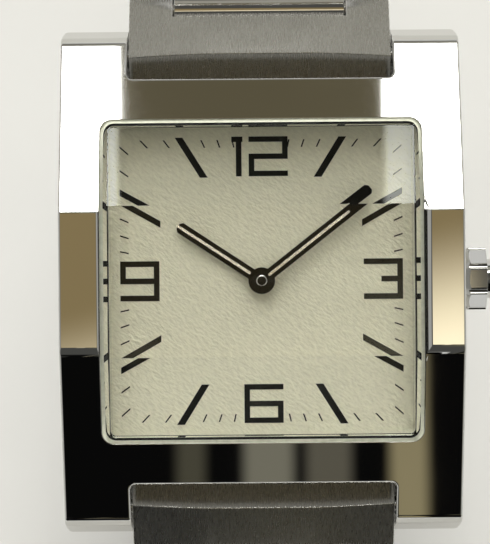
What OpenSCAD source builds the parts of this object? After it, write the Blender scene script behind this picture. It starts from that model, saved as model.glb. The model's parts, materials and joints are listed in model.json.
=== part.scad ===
// Square wristwatch with a three-facet case and crystal, on a closed link bracelet.
// The watch stands on its clasp: Z = 0 is the flat of the clasp cover, the dial faces +Z,
// 12 o'clock is +Y and the crown is at +X. Millimetres.

/* [Case] */
// Width of the case across the dial
case_w = 30; // [28:0.5:34]
// Length of the case over the ends of its lugs
case_l = 38.2; // [37.6:0.1:40]
// Height of the case front above the outer face of the case back
case_h = 9.1; // [8.8:0.1:10]
// Slope of the two outer facets of the front, in degrees
facet_angle = 18; // [14:1:19]
// Distance from the middle to each ridge between two facets
ridge_y = 5.15; // [4.5:0.05:6]
// Width of the gap between a pair of lugs
lug_gap = 20; // [18:0.5:22]
// Length of the lugs, from their ends to the wall between them
lug_l = 3.9; // [3.8:0.05:3.95]
// Distance from the ends of the lugs to a spring bar
bar_inset = 2; // [1.8:0.05:2.05]
// Height of the spring bars above the case back
bar_z = 3.3; // [3:0.1:3.6]
// Radius of the corners in plan
case_corner_r = 0.5; // [0.2:0.1:1]

/* [Crystal] */
// Width of the crystal
crystal_w = 23.4; // [22.5:0.1:24]
// Length of the crystal
crystal_l = 23.6; // [22.5:0.1:24]
// Thickness of the crystal at its middle
crystal_t = 2.82; // [2.7:0.02:3]
// Distance from the middle to each ridge of the crystal
crystal_ridge_y = 5.6; // [5.2:0.05:6]
// Width of the polished bevel round the crystal's front
crystal_bevel = 0.32; // [0.2:0.02:0.5]
// How far the crystal stands proud of the case front
crystal_proud = 0.12; // [0.05:0.01:0.3]
// Wall of the crystal gasket
crystal_gasket_t = 0.28; // [0.15:0.01:0.3]

/* [Dial and hands] */
// Width of the dial that shows inside the rim
dial_window = 22.7; // [21.5:0.1:22.9]
// Thickness of the dial
dial_t = 0.4; // [0.3:0.05:0.5]
// Thickness of the raised print
print_t = 0.04; // [0.02:0.01:0.08]
// Stroke of the numerals
numeral_stroke = 0.42; // [0.3:0.02:0.5]
// Distance from the middle to the inner end of the hour marks
mark_in = 7.15; // [6.5:0.05:7.6]
// Distance from the middle to the outer end of the hour marks above and below
mark_out_y = 10.3; // [9.8:0.05:10.6]
// Distance from the middle to the outer end of the hour marks at the sides
mark_out_x = 10.65; // [9.8:0.05:10.8]
// Slant of the marks at one, five, seven and eleven
end_mark_slant = 31; // [29:0.5:32]
// Slant of the marks at two, four, eight and ten
side_mark_slant = 60.5; // [59:0.5:62]
// Width of an hour mark
mark_w = 0.5; // [0.3:0.02:0.7]
// Width of a minute tick
tick_w = 0.1; // [0.08:0.01:0.2]
// Length of the minute hand from the middle
minute_hand_l = 10.4; // [9:0.1:10.8]
// Length of the hour hand from the middle
hour_hand_l = 7.5; // [6:0.1:8]
// Width of both hands
hand_w = 0.85; // [0.6:0.05:1]
// Thickness of a hand
hand_t = 0.15; // [0.1:0.01:0.2]
// Angle of the minute hand, clockwise from twelve
minute_angle = 52; // [0:1:359]
// Angle of the hour hand, clockwise from twelve
hour_angle = 303.5; // [0:0.5:359.5]

/* [Movement] */
// Diameter of the movement
movement_d = 21; // [20.6:0.1:21.4]
// Diameter of the battery
battery_d = 6.8; // [6:0.1:7]
// Height of the battery
battery_h = 1.65; // [1.4:0.05:1.7]
// Height of the stem's axis above the case back
stem_z = 2.85; // [2.8:0.01:2.9]

/* [Case back] */
// Thickness of the case back
back_t = 1.2; // [1:0.05:1.25]
// How far the case back stands out below the case
back_proud = 0.35; // [0.2:0.05:0.5]

/* [Crown] */
// Width of the crown across opposite flats
crown_flats = 4.7; // [4:0.1:5]
// Length of the gripped part of the crown
crown_l = 1.85; // [1.7:0.05:2.4]
// Diameter of the crown's end cap
crown_cap_d = 3; // [2.4:0.1:3.6]
// Height of the crown's end cap
crown_cap_h = 0.8; // [0.5:0.1:1]
// How far the crown pulls out to set the hands
crown_pull = 1; // [0.8:0.1:1]

/* [Bracelet] */
// Distance between the two pins of a link
link_pitch = 9; // [8.6:0.1:9.6]
// Thickness of a link at its pins
link_t = 2.6; // [2.4:0.1:2.8]
// Width of the polished centre of a link
centre_w = 13; // [11:0.1:14]
// Angle that each link turns from the one before, in degrees
link_turn = 20.5; // [19.5:0.1:21.5]
// Downward slope of the end links, in degrees
end_slope = 28; // [26:1:30]
// Distance from a spring bar to the first link pin
end_l = 4.1; // [4:0.1:5]
// Diameter of a link pin
pin_d = 1.2; // [1:0.05:1.3]
// Radius of the crown across the outer face of a link
crown_r = 120; // [100:5:300]

/* [Clasp] */
// Height of the clasp's side walls
clasp_h = 3; // [2.9:0.05:3.3]
// Thickness of the clasp cover
cover_t = 0.9; // [0.8:0.05:1]
// Thickness of each folding blade
blade_t = 0.8; // [0.7:0.05:0.8]
// Length of a push button along the clasp
button_l = 5; // [4:0.1:6]
// Travel of a push button
button_travel = 0.7; // [0.5:0.05:0.75]

/* [Clearances] */
// Sliding gap between neighbouring moving parts
side_gap = 0.1; // [0.08:0.01:0.15]
// Radial gap of a turning pin in its bore
pin_gap = 0.04; // [0.02:0.01:0.06]
// Radial gap of a fixed pin in its hole
fixed_gap = 0.01; // [0.01:0.005:0.02]
// Gap between the rounded end of a link and the piece it meets
end_gap = 0.2; // [0.15:0.01:0.3]

/* [Hidden] */
$fn = 64;
cut = 20; // reach of a cutting tool past the metal
links = 5; // links on each side, not counting the end link
lug_wall_y = case_l / 2 - lug_l; // wall between a pair of lugs
bar_y = case_l / 2 - bar_inset; // spring bars
link_w = lug_gap - 2 * side_gap;
link_r = link_t / 2;
slot_w = centre_w + 2 * side_gap;
end_nose_r = bar_y - lug_wall_y - 0.05; // round underside of an end link's nose
end_nose_flat = 1.3; // distance from a spring bar to the flat on the nose, which faces the dial's edge

// Heights in the head, above the case back's outer face
plate_z = back_t + 1.1; // underside of the mainplate
dial_z = 3.9; // face of the dial
crystal_top = case_h + crystal_proud;
seat_z = crystal_top - crystal_t; // underside of the crystal
cavity_w = movement_d + 3.2; // square space for the movement
back_w = cavity_w + 2.8;
back_l = cavity_w + 4.8;
dial_w = cavity_w - 0.2;
pocket_w = crystal_w + 2 * crystal_gasket_t;
pocket_l = crystal_l + 2 * crystal_gasket_t;
wheel_z = plate_z - 0.4; // centre wheel
works_z = plate_z + 0.45; // floor of the motion works recess
plate_top = dial_z - dial_t - 0.05;

// The bracelet hangs from the spring bars: heading and pin of each link on one side
function heading(i) = -(end_slope + i * link_turn);
function step(i) = i == 0 ? end_l : link_pitch;
function pin_at(i) = i == 0 ? [bar_y, bar_z]
    : pin_at(i - 1) + step(i - 1) * [cos(heading(i - 1)), sin(heading(i - 1))];

clasp_pin_z = 1.7; // height of the bracelet's last pins above the clasp's flat
clasp_y = pin_at(links + 1)[0];
lift = clasp_pin_z - pin_at(links + 1)[1];

// Clasp: the cover, then the two folded blades above it
outer_blade_z = cover_t + 0.1;
inner_blade_z = outer_blade_z + blade_t + 0.1;
wall_t = 1;
blade_w = link_w - 2 * wall_t - 1;
cover_hinge_y = clasp_y - 6.4;
cover_hinge_z = 1;
cover_knuckle_r = 0.8;
fold_hinge_y = -(clasp_y - 4.9);
fold_hinge_z = outer_blade_z + (inner_blade_z + blade_t - outer_blade_z) / 2;
fold_knuckle_r = (inner_blade_z + blade_t - outer_blade_z) / 2;
fold_knuckle_x = blade_w / 2 - 0.4; // outer end of the fold's side knuckles
blade_pin_d = 0.8;
button_y = fold_hinge_y + 5.5;
button_clear = 0.5; // room for a push button at each end in the blades' notches
post_l = 2.6; // length of a push button's stem and post along the clasp
relief = 5; // square windows that lighten the blades
relief_step = 8; // from the push buttons to the first of those windows, and on to the next
button_x = link_w / 2 + 1;
pad_x = link_w / 2 - wall_t - 0.6; // inner face of a push button's pad
post_x = link_w / 2 - 6.5;

// Lays a flat outline of (Y, Z) points on edge and gives it a width along X
module across(width) {
    rotate([90, 0, 90]) linear_extrude(height = width, center = true) children();
}

// Raises a piece of the head to its place above the clasp
module in_head() {
    translate([0, 0, lift]) children();
}

// A rod along X from one value of X to another
module rod(x0, x1, r) {
    translate([x0, 0, 0]) rotate([0, 90, 0]) cylinder(h = x1 - x0, r = r);
}

// A square plate with rounded corners, centred on the origin
module rounded_square(w, l, r) {
    square([w - 2 * r, l], center = true);
    square([w, l - 2 * r], center = true);
    for (x = [-1, 1], y = [-1, 1]) translate([x * (w / 2 - r), y * (l / 2 - r)]) circle(r);
}

module plate(w, l, r, z0, z1) {
    translate([0, 0, z0]) linear_extrude(height = z1 - z0) rounded_square(w, l, r);
}

// Case body: milled block with three facets in front, four lugs and a stepped opening
function facet_z(y, top, ridge) = top - max(0, abs(y) - ridge) * tan(facet_angle);

module case_side() {
    tip = case_l / 2;
    facet_end = tip - 1.2;
    bevel_end = tip - 0.72;
    facet_end_z = facet_z(facet_end, case_h, ridge_y);
    half = [
        [ridge_y, case_h],
        [facet_end, facet_end_z],
        [bevel_end, facet_end_z - 0.5],
        [tip, bar_z - 1.1],
        [tip - 0.4, 0.9],
        [tip - 1.2, 0.5],
        [lug_wall_y - 1, back_proud],
    ];
    polygon(concat(half, [for (i = [len(half) - 1:-1:0]) [-half[i][0], half[i][1]]]));
}

module case_plan() {
    wall = case_l / 2 - lug_wall_y;
    difference() {
        rounded_square(case_w, case_l, case_corner_r);
        for (side = [-1, 1]) translate([0, side * (lug_wall_y + wall)])
            rounded_square(lug_gap, 2 * wall, 0.4);
    }
}

screw_x = back_w / 2 - 3;
screw_y = back_l / 2 - 0.85;
screw_head_d = 1.5;
screw_d = 0.8;
gasket_mid = cavity_w / 2 + 0.5;

module case_body() {
    color("silver") in_head() difference() {
        intersection() {
            across(case_w + 1) case_side();
            linear_extrude(height = case_h) case_plan();
        }
        plate(pocket_w, pocket_l, 0.9, seat_z, case_h + 1);
        plate(dial_window, dial_window, 0.4, dial_z - 1, seat_z + 1);
        plate(cavity_w, cavity_w, 0.5, -1, dial_z);
        plate(back_w + side_gap, back_l + side_gap, 3, -1, back_t);
        linear_extrude(height = back_t + 0.42) gasket_ring(0.62);
        for (x = [-1, 1], y = [-1, 1]) translate([x * screw_x, y * screw_y, 0])
            cylinder(h = back_t + 2, d = screw_d + 0.04);
        translate([0, 0, stem_z]) rod(cavity_w / 2 - 0.5, case_w / 2 + 1, 1.1 + fixed_gap);
        for (side = [-1, 1]) translate([0, side * bar_y, bar_z])
            rod(-lug_gap / 2 - 0.95, lug_gap / 2 + 0.95, 0.5 + 0.02);
    }
}

// Square ring of the case back's seal, as a flat outline of the given width
module gasket_ring(width) {
    outer = 2 * gasket_mid + width;
    inner = 2 * gasket_mid - width;
    difference() {
        rounded_square(outer, outer, 0.8);
        rounded_square(inner, inner, 0.4);
    }
}

// Case back: plate let into the underside, held by four screws
module case_back() {
    color("silver") in_head() difference() {
        plate(back_w, back_l, 3 - side_gap / 2, 0, back_t);
        for (x = [-1, 1], y = [-1, 1]) translate([x * screw_x, y * screw_y, -1]) {
            cylinder(h = 1.5, d = screw_head_d + 0.06);
            cylinder(h = cut, d = screw_d + 0.06);
        }
    }
}

module back_gasket() {
    color("black") in_head() translate([0, 0, back_t]) linear_extrude(height = 0.38) gasket_ring(0.5);
}

module back_screws() {
    color("silver") in_head() for (x = [-1, 1], y = [-1, 1]) translate([x * screw_x, y * screw_y, 0])
        difference() {
            union() {
                translate([0, 0, 0.05]) cylinder(h = 0.45, d = screw_head_d);
                translate([0, 0, 0.4]) cylinder(h = back_t + 1.2, d = screw_d);
            }
            translate([-screw_head_d, -0.12, -0.1]) cube([2 * screw_head_d, 0.24, 0.35]);
        }
}

// Crystal: sapphire block, flat below and cut to three facets above, with a bevel all round
crystal_edge = crystal_l / 2;
crystal_edge_z = facet_z(crystal_edge, crystal_top, crystal_ridge_y);

module crystal_side() {
    polygon([
        [-crystal_edge, seat_z], [crystal_edge, seat_z],
        [crystal_edge, crystal_edge_z], [crystal_ridge_y, crystal_top],
        [-crystal_ridge_y, crystal_top], [-crystal_edge, crystal_edge_z],
    ]);
}

// A long square tool, turned 45 degrees, that cuts a bevel along Y
module bevel_tool(length, side) {
    rotate([0, 45, 0]) cube([side, length, side], center = true);
}

module crystal() {
    side_tool = crystal_bevel * sqrt(2);
    end_depth = crystal_bevel * (1 - tan(facet_angle));
    slope = (crystal_edge - crystal_ridge_y) / cos(facet_angle);
    color("lightcyan", 0.4) in_head() difference() {
        intersection() {
            across(crystal_w + 1) crystal_side();
            linear_extrude(height = cut) rounded_square(crystal_w, crystal_l, 0.8);
        }
        for (x = [-1, 1]) translate([x * crystal_w / 2, 0, crystal_top]) {
            bevel_tool(2 * crystal_ridge_y, side_tool);
            for (y = [-1, 1]) translate([0, y * crystal_ridge_y, 0]) rotate([-y * facet_angle, 0, 0])
                translate([0, y * slope, 0]) bevel_tool(2 * slope, side_tool);
        }
        for (y = [-1, 1])
            translate([0, y * (crystal_edge + 1 - end_depth / 2), crystal_edge_z + 1 - end_depth / 2])
                rotate([0, 0, 90]) bevel_tool(crystal_w + 1, 2 * sqrt(2));
    }
}

module crystal_gasket() {
    color("gainsboro") in_head() difference() {
        plate(pocket_w, pocket_l, 0.9, seat_z, facet_z(pocket_l / 2, case_h, ridge_y) - 0.1);
        plate(crystal_w, crystal_l, 0.8, seat_z - 1, cut);
    }
}

// Dial and its print
dial_hole_r = 0.85;

module dial() {
    color("wheat") in_head() difference() {
        plate(dial_w, dial_w, 0.4, dial_z - dial_t, dial_z);
        translate([0, 0, dial_z - 1]) cylinder(h = 2, r = dial_hole_r);
    }
}

// A bar between two points of the dial, in the numerals' stroke
module stroke(x0, y0, x1, y1) {
    s = numeral_stroke;
    translate([min(x0, x1), min(y0, y1)]) square([abs(x1 - x0) + s, abs(y1 - y0) + s]);
}

// Block numerals, each drawn from its lower left corner inside w by h
module two(w, h) {
    s = numeral_stroke;
    m = (h - s) / 2;
    stroke(0, h - s, w - s, h - s);
    stroke(w - s, m, w - s, h - s);
    stroke(0, m, w - s, m);
    stroke(0, 0, 0, m);
    stroke(0, 0, w - s, 0);
}

module three(w, h) {
    s = numeral_stroke;
    stroke(0, h - s, w - s, h - s);
    stroke(w * 0.45, (h - s) / 2, w - s, (h - s) / 2);
    stroke(0, 0, w - s, 0);
    stroke(w - s, 0, w - s, h - s);
}

module six(w, h) {
    s = numeral_stroke;
    stroke(0, h - s, w - s, h - s);
    stroke(0, 0, 0, h - s);
    stroke(0, 0, w - s, 0);
    stroke(0, (h - s) / 2, w - s, (h - s) / 2);
    stroke(w - s, 0, w - s, (h - s) / 2);
}

module one(h) {
    s = numeral_stroke;
    stroke(s * 0.8, 0, s * 0.8, h - s);
    stroke(0, h - s, s, h - s);
}

numeral_w = 2.95;

// A mark along the ray at the given clock angle, cut off by two lines parallel to the dial's edge
module ray_mark(angle, width, inner, outer) {
    steep = abs(cos(angle)) > abs(sin(angle));
    reach = cut * 0.9;
    intersection() {
        polygon(steep
            ? [for (p = [[-1, 0], [-1, 1], [1, 1], [1, 0]])
                [p[0] * width / 2 / abs(cos(angle)) + p[1] * reach * sin(angle), p[1] * reach * cos(angle)]]
            : [for (p = [[0, -1], [1, -1], [1, 1], [0, 1]])
                [p[0] * reach * sin(angle), p[1] * width / 2 / abs(sin(angle)) + p[0] * reach * cos(angle)]]);
        difference() {
            square(2 * (steep ? outer[1] : outer[0]), center = true);
            square(2 * (steep ? inner[1] : inner[0]), center = true);
        }
    }
}

module dial_print() {
    side_h = mark_out_y - mark_in;
    translate([-0.9, mark_in + 0.08]) two(numeral_w, side_h - 0.03);
    translate([-2.2, mark_in + 0.08]) one(side_h - 0.03);
    translate([0.1 - numeral_w / 2, -mark_out_y + 0.1]) six(numeral_w, side_h - 0.1);
    translate([mark_out_x - numeral_w, -1.45]) three(numeral_w, 3.05);
    translate([-mark_out_x, -numeral_w / 2]) rotate(180) translate([-numeral_w, -3]) six(numeral_w, 3);
    for (turn = [0, 180], side = [-1, 1]) {
        ray_mark(turn + side * end_mark_slant, mark_w, [0, mark_in], [0, mark_out_y]);
        ray_mark(turn + side * side_mark_slant, mark_w - 0.06, [mark_in + 0.45, 0], [mark_out_x, 0]);
    }
    for (minute = [0:59]) if (minute % 5 != 0 && abs(minute % 15 - 7.5) < 6)
        ray_mark(minute * 6, tick_w, [mark_out_x - 0.65, mark_out_y - 0.8], [mark_out_x, mark_out_y - 0.2]);
}

module dial_markers() {
    color("black") in_head() translate([0, 0, dial_z]) linear_extrude(height = print_t) dial_print();
}

// Hands, each on its own tube
hour_hand_z = dial_z + 0.45;
minute_hand_z = hour_hand_z + 0.5;
hub_r = 1;

module hand(length, hole_r, angle) {
    tip = hand_w * 0.25;
    rotate(-angle) difference() {
        union() {
            cylinder(h = hand_t, r = hub_r);
            linear_extrude(height = hand_t)
                polygon([[-hand_w / 2, 0], [-hand_w / 2, length - tip], [tip - hand_w / 2, length],
                         [hand_w / 2 - tip, length], [hand_w / 2, length - tip], [hand_w / 2, 0]]);
        }
        translate([0, 0, -1]) cylinder(h = cut, r = hole_r);
    }
}

module hour_hand() {
    color("black") in_head() translate([0, 0, hour_hand_z]) hand(hour_hand_l, 0.75 + fixed_gap, hour_angle);
}

module minute_hand() {
    color("black") in_head() translate([0, 0, minute_hand_z])
        hand(minute_hand_l, 0.38 + fixed_gap, minute_angle);
}

// Movement: quartz works on a brass mainplate, held in a square plastic ring
module movement_holder() {
    color("dimgray") in_head() difference() {
        plate(cavity_w - 0.1, cavity_w - 0.1, 0.4, back_t + 0.05, dial_z - dial_t);
        cylinder(h = cut, d = movement_d + 0.1);
        translate([movement_d / 2 - 1, -1, 0]) cube([cut, 2, cut]);
    }
}

battery_at = [-4.9, -4.4];
works_at = [2.4, 0];
mid_at = [3.08 * cos(110), 3.08 * sin(110)];
rotor_at = mid_at + 2.8 * [cos(160), sin(160)];
coil_y = 7.4;
coil_x = [-6, 2.4];
coil_z = plate_z - 0.15;
pillars = [[2.6, 4.4], [-6.4, 1.6]];
bridge_z = back_t + 0.1;
bridge_t = 0.2;
arbor_r = 0.2;

module mainplate() {
    color("goldenrod") in_head() difference() {
        union() {
            translate([0, 0, plate_z]) cylinder(h = plate_top - plate_z, d = movement_d);
            for (p = pillars) translate([p[0], p[1], bridge_z + bridge_t])
                cylinder(h = plate_z - bridge_z, r = 0.6);
            translate([6.6, 5.6, back_t + 0.45]) cylinder(h = plate_z - back_t, r = 0.5);
        }
        translate([0, 0, works_z]) {
            cylinder(h = cut, r = 2.25);
            translate(works_at) cylinder(h = cut, r = 2.15);
        }
        cylinder(h = cut, r = arbor_r + pin_gap);
        translate(mid_at) cylinder(h = plate_z + 0.5, r = 0.12 + pin_gap);
        translate(rotor_at) cylinder(h = plate_z + 0.5, r = 0.12 + pin_gap);
        translate(battery_at) cylinder(h = bridge_z + 0.07 + battery_h, d = battery_d + 0.1);
        translate([coil_x[0] - 0.1, coil_y - 0.8, 0]) cube([coil_x[1] - coil_x[0] + 0.2, 1.6, coil_z + 0.75]);
        translate([5.4, -0.75, 0]) cube([cut, 1.5, cut]);
        for (p = pillars) translate([p[0], p[1], 0]) cylinder(h = bridge_z + 1, r = 0.25 + fixed_gap);
    }
    color("goldenrod") in_head() translate([works_at[0], works_at[1], works_z - 0.1])
        cylinder(h = 0.7, r = 0.15);
}

module train_bridge() {
    color("goldenrod") in_head() difference() {
        translate([0, 0, bridge_z]) linear_extrude(height = bridge_t) union() {
            polygon([[0.3, -1.3], [pillars[0][0] + 0.9, pillars[0][1] - 0.4], [pillars[0][0], pillars[0][1] + 0.9],
                     [-3.4, 5.1], [pillars[1][0] - 0.8, pillars[1][1] + 0.5], [-6.2, 0.8], [-1.2, -0.9]]);
            for (p = concat(pillars, [[0, 0], rotor_at])) translate(p) circle(1.1);
        }
        cylinder(h = cut, r = arbor_r + pin_gap);
        for (p = [mid_at, rotor_at]) translate(p) cylinder(h = cut, r = 0.12 + pin_gap);
        for (p = pillars) translate([p[0], p[1], 0]) {
            cylinder(h = cut, r = 0.27);
            cylinder(h = bridge_z + 0.1, r = 0.47);
        }
    }
}

module bridge_screws() {
    color("silver") in_head() for (p = pillars) translate([p[0], p[1], bridge_z]) {
        cylinder(h = 0.1, r = 0.45);
        cylinder(h = 0.9, r = 0.25);
    }
}

module battery() {
    color("lightgray") in_head() translate([battery_at[0], battery_at[1], bridge_z + 0.05]) {
        cylinder(h = battery_h * 0.75, d = battery_d);
        cylinder(h = battery_h, d = battery_d * 0.8);
    }
}

module battery_clamp() {
    color("silver") in_head() translate([0, 0, back_t + 0.02]) linear_extrude(height = 0.12) union() {
        translate(battery_at) circle(1.2);
        translate([battery_at[0], battery_at[1] - 0.6]) square([7.2, 1.2]);
        translate([battery_at[0] + 7.2, battery_at[1]]) circle(0.9);
    }
    color("silver") in_head() translate([battery_at[0] + 7.2, battery_at[1], back_t + 0.14])
        cylinder(h = plate_z - back_t - 0.14, r = 0.5);
}

module circuit_board() {
    color("darkgreen") in_head() {
        translate([0, 0, back_t + 0.2]) linear_extrude(height = 0.25) difference() {
            intersection() {
                circle(movement_d / 2 - 0.4);
                translate([4.1, 1.2]) square([6, 8]);
            }
            circle(4.2);
        }
        translate([5.2, 2.2, back_t + 0.45]) cube([2, 2, 0.4]);
    }
}

module coil() {
    color("peru") in_head() translate([0, coil_y, coil_z]) {
        rod(coil_x[0] + 0.8, coil_x[1] - 0.8, 0.65);
        translate([coil_x[0], -0.4, -0.15]) cube([coil_x[1] - coil_x[0], 0.8, 0.3]);
    }
}

module stator() {
    leg = 0.5;
    color("gray") in_head() translate([0, 0, coil_z - 0.35]) linear_extrude(height = 0.2) difference() {
        union() {
            translate(rotor_at) circle(1.5);
            // Each leg passes under an end of the coil's core, clear of the winding
            polygon([[coil_x[0], coil_y + 0.4], [coil_x[0], coil_y - 0.4], rotor_at - [1.2, 0], rotor_at + [0, 0.4],
                     [coil_x[0] + 0.7, coil_y - 0.9], [coil_x[0] + 0.7, coil_y + 0.4]]);
            polygon([[coil_x[1], coil_y + 0.4], [coil_x[1], coil_y - 0.6], rotor_at + [0, -1], rotor_at + [-0.6, 0.8],
                     [coil_x[1] - 0.7, coil_y - 0.9], [coil_x[1] - 0.7, coil_y + 0.4]]);
        }
        translate(rotor_at) circle(0.85);
    }
}

// A spur gear outline with trapezoid teeth
module gear(teeth, pitch_module) {
    r = teeth * pitch_module / 2;
    root = r - 1.15 * pitch_module;
    tip = r + 0.8 * pitch_module;
    part = 360 / teeth;
    polygon([for (i = [0:teeth - 1], k = [[-0.28, root], [-0.13, tip], [0.13, tip], [0.28, root]])
        let (a = (i + k[0]) * part) k[1] * [cos(a), sin(a)]]);
}

mid_module = 0.08;
rotor_module = 0.07;
works_module = 0.1;

module rotor() {
    color("dimgray") in_head() translate([rotor_at[0], rotor_at[1], 0]) {
        translate([0, 0, bridge_z]) cylinder(h = 1.4, r = 0.12);
        translate([0, 0, bridge_z + bridge_t + 0.02]) linear_extrude(height = 0.3) rotate(2.5) gear(8, rotor_module);
        translate([0, 0, wheel_z - 0.03]) cylinder(h = 0.36, r = 0.6);
    }
}

module intermediate_wheel() {
    color("gold") in_head() translate([mid_at[0], mid_at[1], 0]) {
        translate([0, 0, bridge_z]) cylinder(h = 1.4, r = 0.12);
        translate([0, 0, bridge_z + bridge_t + 0.05]) linear_extrude(height = 0.2) rotate(160) gear(72, rotor_module);
        translate([0, 0, wheel_z - 0.1]) linear_extrude(height = 0.4) rotate(290 + 180 / 7) gear(7, mid_module);
    }
}

module center_wheel() {
    color("gold") in_head() {
        translate([0, 0, wheel_z]) linear_extrude(height = 0.2) rotate(110) gear(70, mid_module);
        translate([0, 0, bridge_z]) cylinder(h = works_z + 0.4 - bridge_z, r = arbor_r);
    }
}

cannon_r = 0.45;
hour_tube_r = 0.75;
hour_wheel_z = works_z + 0.35;

module cannon_pinion() {
    color("silver") in_head() difference() {
        union() {
            translate([0, 0, works_z + 0.03]) linear_extrude(height = 0.27) rotate(15) gear(12, works_module);
            translate([0, 0, works_z + 0.03]) cylinder(h = minute_hand_z - works_z - 0.03, r = cannon_r);
            translate([0, 0, works_z + 0.03]) cylinder(h = minute_hand_z + 0.3 - works_z, r = 0.38);
        }
        cylinder(h = works_z + 0.45, r = arbor_r + fixed_gap);
    }
}

module minute_wheel() {
    color("gold") in_head() translate([works_at[0], works_at[1], works_z + 0.05]) difference() {
        union() {
            linear_extrude(height = 0.2) gear(36, works_module);
            linear_extrude(height = 0.6) gear(10, 0.096);
        }
        cylinder(h = 4, r = 0.15 + pin_gap, center = true);
    }
}

module hour_wheel() {
    color("silver") in_head() difference() {
        union() {
            translate([0, 0, hour_wheel_z]) linear_extrude(height = 0.25) rotate(4.5) gear(40, 0.096);
            translate([0, 0, hour_wheel_z]) cylinder(h = hour_hand_z + 0.2 - hour_wheel_z, r = hour_tube_r);
        }
        cylinder(h = cut, r = cannon_r + pin_gap);
    }
}

// Crown, its stem and seals, on the axis through the case's right side
crown_x = case_w / 2 + 0.15;
tube_r = 1.1;
tube_end = case_w / 2 + 1.2;
stem_r = 0.57;
bore_r = 1.65;
neck_r = 1.95; // crown's inner end
neck_flare = 0.8; // how fast the crown widens from there
stem_square = 0.5;
crown_bottom = crown_x + 1.35;

module on_stem() {
    in_head() translate([0, 0, stem_z]) children();
}

module crown() {
    across_points = crown_flats / cos(22.5);
    color("silver") on_stem() difference() {
        union() {
            intersection() {
                translate([crown_x, 0, 0]) rotate([0, 90, 0]) rotate(22.5)
                    cylinder(h = crown_l, d = across_points, $fn = 8);
                rod(crown_x, crown_x + crown_l, across_points / 2 - 0.1);
                translate([crown_x, 0, 0]) rotate([0, 90, 0])
                    cylinder(h = crown_l, r1 = neck_r, r2 = neck_r + neck_flare * crown_l);
            }
            rod(crown_x + crown_l, crown_x + crown_l + crown_cap_h * 0.6, crown_cap_d / 2);
            rod(crown_x + crown_l, crown_x + crown_l + crown_cap_h, crown_cap_d / 2 - 0.3);
        }
        for (a = [22.5:45:360]) rotate([a, 0, 0]) translate([0, across_points / 2, 0])
            rod(crown_x - 1, crown_x + crown_l + 1, 0.22);
        rod(crown_x - 1, crown_bottom, bore_r);
        rod(0, crown_bottom + 0.8, stem_r + fixed_gap);
    }
}

module stem() {
    s = stem_square;
    color("silver") on_stem() {
        rod(crown_x - 2.8, crown_bottom + 0.78, stem_r);
        rod(8.4, crown_x - 2.8, 0.4);
        translate([6.9 - crown_pull, -s / 2, -s / 2]) cube([1.5 + crown_pull, s, s]);
    }
}

module crown_gasket() {
    color("black") on_stem() difference() {
        rod(crown_x + 0.35, crown_x + 0.95, bore_r - fixed_gap);
        rod(0, cut, tube_r + 0.03);
    }
}

module crown_tube() {
    color("silver") on_stem() difference() {
        rod(cavity_w / 2 + 0.1, tube_end, tube_r);
        rod(0, cut, stem_r + 0.05);
    }
}

module sliding_pinion() {
    s = stem_square + 0.06;
    color("silver") on_stem() difference() {
        union() {
            rod(7, 8, 0.45);
            rod(7, 7.35, 0.6);
            rod(7.65, 8, 0.6);
        }
        translate([0, -s / 2, -s / 2]) cube([cut, s, s]);
    }
}

// Spring bars through the end links into the lugs
bar_r = 0.9;

module spring_bars() {
    color("silver") in_head() for (side = [-1, 1]) translate([0, side * bar_y, bar_z]) {
        rod(-lug_gap / 2 + 0.5, lug_gap / 2 - 0.5, bar_r);
        rod(-lug_gap / 2 - 0.85, lug_gap / 2 + 0.85, 0.5);
    }
}

// Puts a link on its rear pin: side 12 or 6, i = 0 for the end link
module at_link(side, i) {
    mirror([0, side == 6 ? 1 : 0, 0]) translate([0, pin_at(i)[0], lift + pin_at(i)[1]])
        rotate([heading(i), 0, 0]) children();
}

// Side outline between two planes of the link, domed on the outer face
module domed_side(u0, u1, dome_r, dome_u, end_u) {
    dome_w = link_r - sqrt(dome_r * dome_r - (end_u - dome_u) * (end_u - dome_u));
    intersection() {
        translate([dome_u, dome_w]) circle(dome_r, $fn = 360);
        translate([u0, -link_r]) square([u1 - u0, link_t * 2]);
    }
}

// Trims a link to the shallow crown across its outer face
module crowned(top) {
    intersection() {
        children();
        translate([0, cut * 2, top - crown_r]) rotate([90, 0, 0]) cylinder(h = cut * 4, r = crown_r, $fn = 720);
    }
}

end_dome_r = 13;
end_dome_u = 0.8;
end_top = 1.7; // height of an end link's crown above its pins
link_dome_r = 25;
link_top = link_r + 0.42;

module end_link_block() {
    difference() {
        crowned(end_top) difference() {
            across(link_w) difference() {
                union() {
                    intersection() {
                        circle(end_nose_r);
                        domed_side(-end_nose_r - 1, end_l, end_dome_r, end_dome_u, end_l);
                    }
                    intersection() {
                        circle(end_nose_r);
                        translate([-end_nose_r, -2 * end_nose_r]) square([2 * end_nose_r, 2 * end_nose_r]);
                    }
                    domed_side(0, end_l, end_dome_r, end_dome_u, end_l);
                    translate([end_l, 0]) circle(link_r);
                }
                rotate(135 + end_slope) translate([end_nose_flat, -cut / 2]) square(cut);
            }
            translate([-slot_w / 2, end_l - link_r - end_gap, -cut / 2]) cube([slot_w, cut, cut]);
        }
        rod(-link_w, link_w, bar_r + 0.05);
        translate([0, end_l, 0]) rod(-link_w, link_w, pin_d / 2 + fixed_gap);
    }
    translate([0, end_l, 0]) rod(-link_w / 2 + 0.2, link_w / 2 - 0.2, pin_d / 2);
}

module end_link_12() {
    color("darkgray") at_link(12, 0) end_link_block();
}

module end_link_6() {
    color("darkgray") at_link(6, 0) end_link_block();
}

bridge_u = [2.6, link_pitch - 2.4];
fixing_pin_r = 0.4;
fixing_at = [link_pitch / 2, 0.35];

// The last link of the 6 side has no fork: its centre runs on to the clasp's spring bar
function is_last(side, i) = side == 6 && i == links;

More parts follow.
